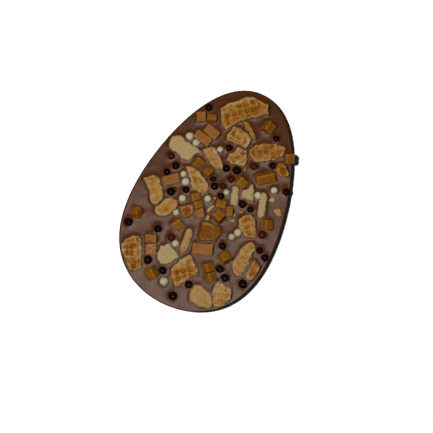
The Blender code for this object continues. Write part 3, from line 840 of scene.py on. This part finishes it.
def crumb_mesh(corners):
    """A low closed block over an outline, narrower at the top."""
    middle = sum((Vector(corner) for corner in corners), Vector((0, 0))) / len(corners)
    count = len(corners)
    rings = (
        (1, -CRUMB_SINK),
        (1, CRUMB_SHOULDER * CRUMB_HEIGHT),
        (CRUMB_TOP, CRUMB_HEIGHT - CRUMB_SINK),
    )
    vertices = []
    for share, height in rings:
        for corner in corners:
            point = (middle + (Vector(corner) - middle) * share) * MM
            vertices.append((point.x, point.y, SLAB_TOP + height))
    faces = [tuple(range(count)), tuple(range(2 * count, 3 * count))]
    for low, high in ((0, count), (count, 2 * count)):
        for here in range(count):
            there = (here + 1) % count
            faces.append((low + here, low + there, high + there, high + here))
    mesh = new_mesh("Crumb", vertices, faces)
    shape = bmesh.new()
    shape.from_mesh(mesh)
    bmesh.ops.recalc_face_normals(shape, faces=shape.faces)
    shape.to_mesh(mesh)
    shape.free()
    return mesh


for index, (corners, bake) in enumerate(CRUMBS, 1):
    crumb = worn_copy(f"crumb_{index}", crumb_mesh(corners), SHARD_VOXEL, baked, **CRUMB_WEAR)
    colour_by_place(crumb.data, bake, CRUMB_PATCHY)
    settle(crumb, baked, "biscuit", "chocolate_slab")
print(f"{len(CRUMBS)} crumbs")

# %% [markdown]
# ## The slab
#
# The slab is one casting. Its solid is cut by sockets and has few faces, which would show in the gloss,
# so the slab is drawn afresh to the same measures. Cutting a plane to the outline would leave long thin
# faces at the rim. A square grid bent to the egg keeps them even. Rings below the grid make the rounded
# rim, the drafted wall and the foot.

# %% The egg's outline
EGG_LENGTH = 125 * MM
EGG_WIDTH = 80.8 * MM
EGG_TAPER = 0.217
EGG_FULLNESS = 0.122
RIM_RADIUS = 0.8 * MM


def egg_outline(turn, inset):
    """Points of the egg's outline moved in by inset, for an array of turns from the narrow end."""
    across, along = np.sin(turn), np.cos(turn)
    swell = 1 - EGG_TAPER * along + EGG_FULLNESS * along**2
    change = EGG_TAPER * across - 2 * EGG_FULLNESS * along * across
    x, y = -across * swell * EGG_WIDTH / 2, along * EGG_LENGTH / 2
    tangent_x = -(along * swell + across * change) * EGG_WIDTH / 2
    tangent_y = -across * EGG_LENGTH / 2
    length = np.hypot(tangent_x, tangent_y)
    return x - tangent_y / length * inset, y + tangent_x / length * inset


def top_grid(steps):
    """A square grid bent onto the egg inside its rim: x, y, each point's turn, and its share of the way."""
    line = np.linspace(-1, 1, steps + 1)
    a, b = np.meshgrid(line, line, indexing="ij")
    share = np.maximum(np.abs(a), np.abs(b))
    wide = np.abs(a) >= np.abs(b)
    slope_a = b / np.where(wide & (a != 0), a, 1)
    slope_b = a / np.where(~wide, b, 1)
    turn_a = np.where(a >= 0, 0, math.pi) + slope_a * math.pi / 4
    turn_b = np.where(b >= 0, 0.5, -0.5) * math.pi - slope_b * math.pi / 4
    turn = np.where(wide, turn_a, turn_b)
    x, y = egg_outline(turn, RIM_RADIUS)
    return x * share, y * share, turn, share


half_width = np.abs(egg_outline(np.linspace(0, math.pi, 181), 0)[0]).max()
print(f"outline {EGG_LENGTH / MM:.1f} mm long and {2 * half_width / MM:.1f} mm wide")

# %% The edge, from the rim down to the foot
FOOT_RADIUS = 1.6 * MM
MOULD_DRAFT = 1.0 * MM
RIM_STEPS = 6
WALL_STEPS = 5
FOOT_STEPS = 5


def edge_profile():
    """(inset, height) of the edge from just under the top's border down to the flat underside."""
    points = []
    for step in range(1, RIM_STEPS + 1):
        turn = step / RIM_STEPS * math.pi / 2
        points.append((RIM_RADIUS * (1 - math.sin(turn)), SLAB_TOP - RIM_RADIUS * (1 - math.cos(turn))))
    wall = SLAB_TOP - RIM_RADIUS - FOOT_RADIUS
    for step in range(1, WALL_STEPS):
        points.append((MOULD_DRAFT * step / WALL_STEPS, FOOT_RADIUS + wall * (1 - step / WALL_STEPS)))
    for step in range(FOOT_STEPS + 1):
        turn = step / FOOT_STEPS * math.pi / 2
        points.append((MOULD_DRAFT + FOOT_RADIUS * (1 - math.cos(turn)), FOOT_RADIUS * (1 - math.sin(turn))))
    return points


print(f"{len(edge_profile())} rings round the edge")

# %% The slab as cast
GRID_STEPS = 240
BORDER = 0.05
TIP_START = 38 * MM
TIP_DROP = 0.9 * MM
DROP_FOOT = 0.2


def slab_mesh(steps):
    """The slab as cast: top, rim, wall and flat underside, with `inland` from 0 at the rim to 1 inside."""
    x, y, turn, share = top_grid(steps)
    tip = np.clip((y - TIP_START) / (EGG_LENGTH / 2 - TIP_START), 0, 1)
    top = np.stack([x, y, SLAB_TOP - TIP_DROP * tip * tip], axis=-1).reshape(-1, 3)
    side = steps + 1
    faces = []
    for i in range(steps):
        for j in range(steps):
            first = i * side + j
            faces.append((first, first + side, first + side + 1, first + 1))

    loop = [i * side for i in range(steps)] + [steps * side + j for j in range(steps)]
    loop += [(steps - i) * side + steps for i in range(steps)] + [steps - j for j in range(steps)]
    turns = turn.reshape(-1)[loop]
    drop = top[loop, 2] - SLAB_TOP
    layers = [top]
    upper = loop
    first = len(top)
    for inset, height in edge_profile():
        ring_x, ring_y = egg_outline(turns, inset)
        kept = min(1, max(0, height / SLAB_TOP - DROP_FOOT) / (1 - DROP_FOOT))
        layers.append(np.stack([ring_x, ring_y, height + drop * kept], axis=-1))
        lower = list(range(first, first + len(loop)))
        for here in range(len(loop)):
            there = (here + 1) % len(loop)
            faces.append((lower[here], lower[there], upper[there], upper[here]))
        upper = lower
        first += len(loop)
    faces.append(tuple(reversed(upper)))

    points = np.concatenate(layers)
    mesh = new_mesh("poured_slab", points.tolist(), faces)
    inland = np.zeros(len(points))
    inland[:len(top)] = smooth((1 - share) / BORDER).reshape(-1)
    put_value(mesh, "inland", inland)
    return mesh


slab = new_object("poured_slab", slab_mesh(GRID_STEPS))
print(f"{len(slab.data.vertices)} points in the slab as cast")

# %% [markdown]
# ## The pour
#
# Poured chocolate climbs whatever stands in it, and its top keeps a slow swell. Sculpting that round a
# hundred toppings would be slow, and would be wrong as soon as one moved. Geometry Nodes can measure how
# near each point is to a topping, so they raise the top by that, and by a broad noise. Both fade out at
# the rim, so that the outline stays as it is.

# %% Climb and swell
CLIMB = 0.6 * MM
CLIMB_REACH = 0.7 * MM
CLIMB_BLUR_STEPS = 5
SWELL = 0.3 * MM
SWELL_SCALE = 75


def all_toppings():
    """One object with every solid and pearl that stands in the chocolate, for the nodes to measure from."""
    shape = bmesh.new()
    for name in node_names:
        if name != "chocolate_slab":
            shape.from_mesh(frame["nodes"][name].data)
    for piece in pearl_pieces:
        shape.from_mesh(piece.data)
    mesh = bpy.data.meshes.new("toppings")
    shape.to_mesh(mesh)
    shape.free()
    return new_object("toppings", mesh)


def pour_group():
    """Geometry Nodes: the top climbs what stands in it and swells a little, fading out at the rim."""
    inputs = {"Geometry": "Geometry", "Toppings": "Object", "Chocolate": "Material"}
    inputs.update({name: "Float" for name in ("Climb", "Reach", "Swell", "Swell Scale")})
    group, given = new_group("Pour", "GeometryNodeTree", inputs, {"Geometry": "Geometry"})
    standing = add_node(group, "GeometryNodeObjectInfo", {"Object": given["Toppings"]}).outputs["Geometry"]
    inputs = {"Geometry": standing}
    near = add_node(group, "GeometryNodeProximity", inputs, target_element="FACES").outputs["Distance"]
    falling = maths(group, "MULTIPLY", maths(group, "DIVIDE", near, given["Reach"]), -1.0)
    climb = maths(group, "MULTIPLY", maths(group, "EXPONENT", falling), given["Climb"])
    inputs = {"Value": climb, "Iterations": CLIMB_BLUR_STEPS}
    soft = add_node(group, "GeometryNodeBlurAttribute", inputs, data_type="FLOAT").outputs[0]
    spot = add_node(group, "GeometryNodeInputPosition").outputs["Position"]
    wave = noisy(group, spot, given["Swell Scale"], detail=1, Roughness=0.45, Lacunarity=2.5)
    swell = swing(group, wave, maths(group, "MULTIPLY", given["Swell"], 2.0))
    rise = maths(group, "MULTIPLY", maths(group, "ADD", soft, swell), carried(group, "inland"))
    upward = add_node(group, "ShaderNodeCombineXYZ", {"Z": rise}).outputs[0]
    inputs = {"Geometry": given["Geometry"], "Offset": upward}
    poured = add_node(group, "GeometryNodeSetPosition", inputs).outputs[0]
    finish_group(group, poured, given["Chocolate"])
    return group


toppings = all_toppings()
use_nodes(
    slab, pour_group(), toppings=toppings, climb=CLIMB, reach=CLIMB_REACH, swell=SWELL,
    swell_scale=SWELL_SCALE, chocolate=milk,
)
bpy.data.objects.remove(toppings)
settle(slab, milk, slots["chocolate_slab"], "chocolate_slab")
print(f"slab with {triangles(slab.data)} triangles")

# %% [markdown]
# ## Light
#
# The photograph has a short dark shadow on the right, a haze over the flat chocolate and hardly any light
# on the right rim. One lamp can't give all three. A small, steep key light from the left gives the shadow
# and lights every colour, and is hidden from reflections. A softbox overhead, towards the wide end, does
# the opposite: it only shows in reflections, and the flat chocolate mirrors it. The rest of the room is
# dim.

# %% Key light, softbox and room
KEY_WAY = (-0.99, -0.14)
KEY_TILT = 13
KEY_DISTANCE = 0.8
KEY_SIZE = 0.045
KEY_POWER = 7.75
SOFTBOX_TILTS = (6, -11)
SOFTBOX_DISTANCE = 0.7
SOFTBOX_SIZE = (0.44, 0.34)
SOFTBOX_RADIANCE = 3.15
SOFTBOX_COLOUR = (1, 0.94, 0.87)
ROOM_LIGHT = 0.02


def aimed_light(name, spot, power):
    """An area light that faces the middle of the slab."""
    lamp = bpy.data.lights.new(name, "AREA")
    lamp.energy = power
    made = new_object(name, lamp)
    made.location = spot
    made.rotation_euler = (-Vector(spot)).to_track_quat("-Z", "Y").to_euler()
    return made


lean = math.radians(KEY_TILT)
sideways = KEY_DISTANCE * math.sin(lean)
key_spot = (KEY_WAY[0] * sideways, KEY_WAY[1] * sideways, KEY_DISTANCE * math.cos(lean))
key = aimed_light("Key", key_spot, KEY_POWER)
key.data.size = KEY_SIZE
key.visible_glossy = False

tilt_x, tilt_y = (math.tan(math.radians(tilt)) for tilt in SOFTBOX_TILTS)
box_spot = (tilt_x * SOFTBOX_DISTANCE, tilt_y * SOFTBOX_DISTANCE, SOFTBOX_DISTANCE)
box_power = math.pi * SOFTBOX_SIZE[0] * SOFTBOX_SIZE[1] * SOFTBOX_RADIANCE
softbox = aimed_light("Softbox", box_spot, box_power)
softbox.data.shape = "RECTANGLE"
softbox.data.color = SOFTBOX_COLOUR
softbox.data.size, softbox.data.size_y = SOFTBOX_SIZE
softbox.visible_diffuse = False

world = bpy.data.worlds.new("Room")
world.use_nodes = True
background = world.node_tree.nodes["Background"]
background.inputs["Color"].default_value = (1, 1, 1, 1)
background.inputs["Strength"].default_value = ROOM_LIGHT
scene.world = world
print(f"key {KEY_POWER} W, softbox {box_power:.2f} W")

# %% [markdown]
# ## Floor and camera
#
# The slab lies on a white sheet, seen from straight above. A white floor would throw light onto the rim,
# so here it neither shows in reflections nor lights anything, which keeps the right edge dark. The camera
# is high with a long lens, because then the tall pieces hardly lean outwards. It is turned so that the
# egg leans as in the photograph.

# %% White sheet
FLOOR_REACH = 2
FLOOR_CORNERS = [(x * FLOOR_REACH, y * FLOOR_REACH, 0) for x, y in ((-1, -1), (1, -1), (1, 1), (-1, 1))]
floor_material, _, floor_shader, _ = new_material("White sheet")
floor_shader.inputs["Base Color"].default_value = (1, 1, 1, 1)
floor_shader.inputs["Roughness"].default_value = 0.9
floor_shader.inputs["Specular IOR Level"].default_value = 0.0
floor = new_object("Floor", new_mesh("Floor", FLOOR_CORNERS, [(0, 1, 2, 3)]))
floor.data.materials.append(floor_material)
floor.visible_glossy = False
floor.visible_diffuse = False
print(f"floor {2 * FLOOR_REACH} m across")

# %% Camera
CAMERA_SPOT = Vector((5.8 * MM, -7.6 * MM, SLAB_TOP + 0.55))
CAMERA_TURN = 25.5
VIEW_WIDTH = 232.8 * MM
SENSOR = 36.0
NEAREST = 10 * MM

lens = bpy.data.cameras.new("Camera")
lens.sensor_width = SENSOR
lens.lens = SENSOR * (CAMERA_SPOT.z - SLAB_TOP) / VIEW_WIDTH
lens.clip_start = NEAREST
camera = new_object("Camera", lens)
camera.location = CAMERA_SPOT
camera.rotation_euler = (0, 0, math.radians(CAMERA_TURN))
scene.camera = camera
scene.view_settings.view_transform = "Standard"
print(f"lens {lens.lens:.1f} mm, {VIEW_WIDTH / MM:.1f} mm in view")
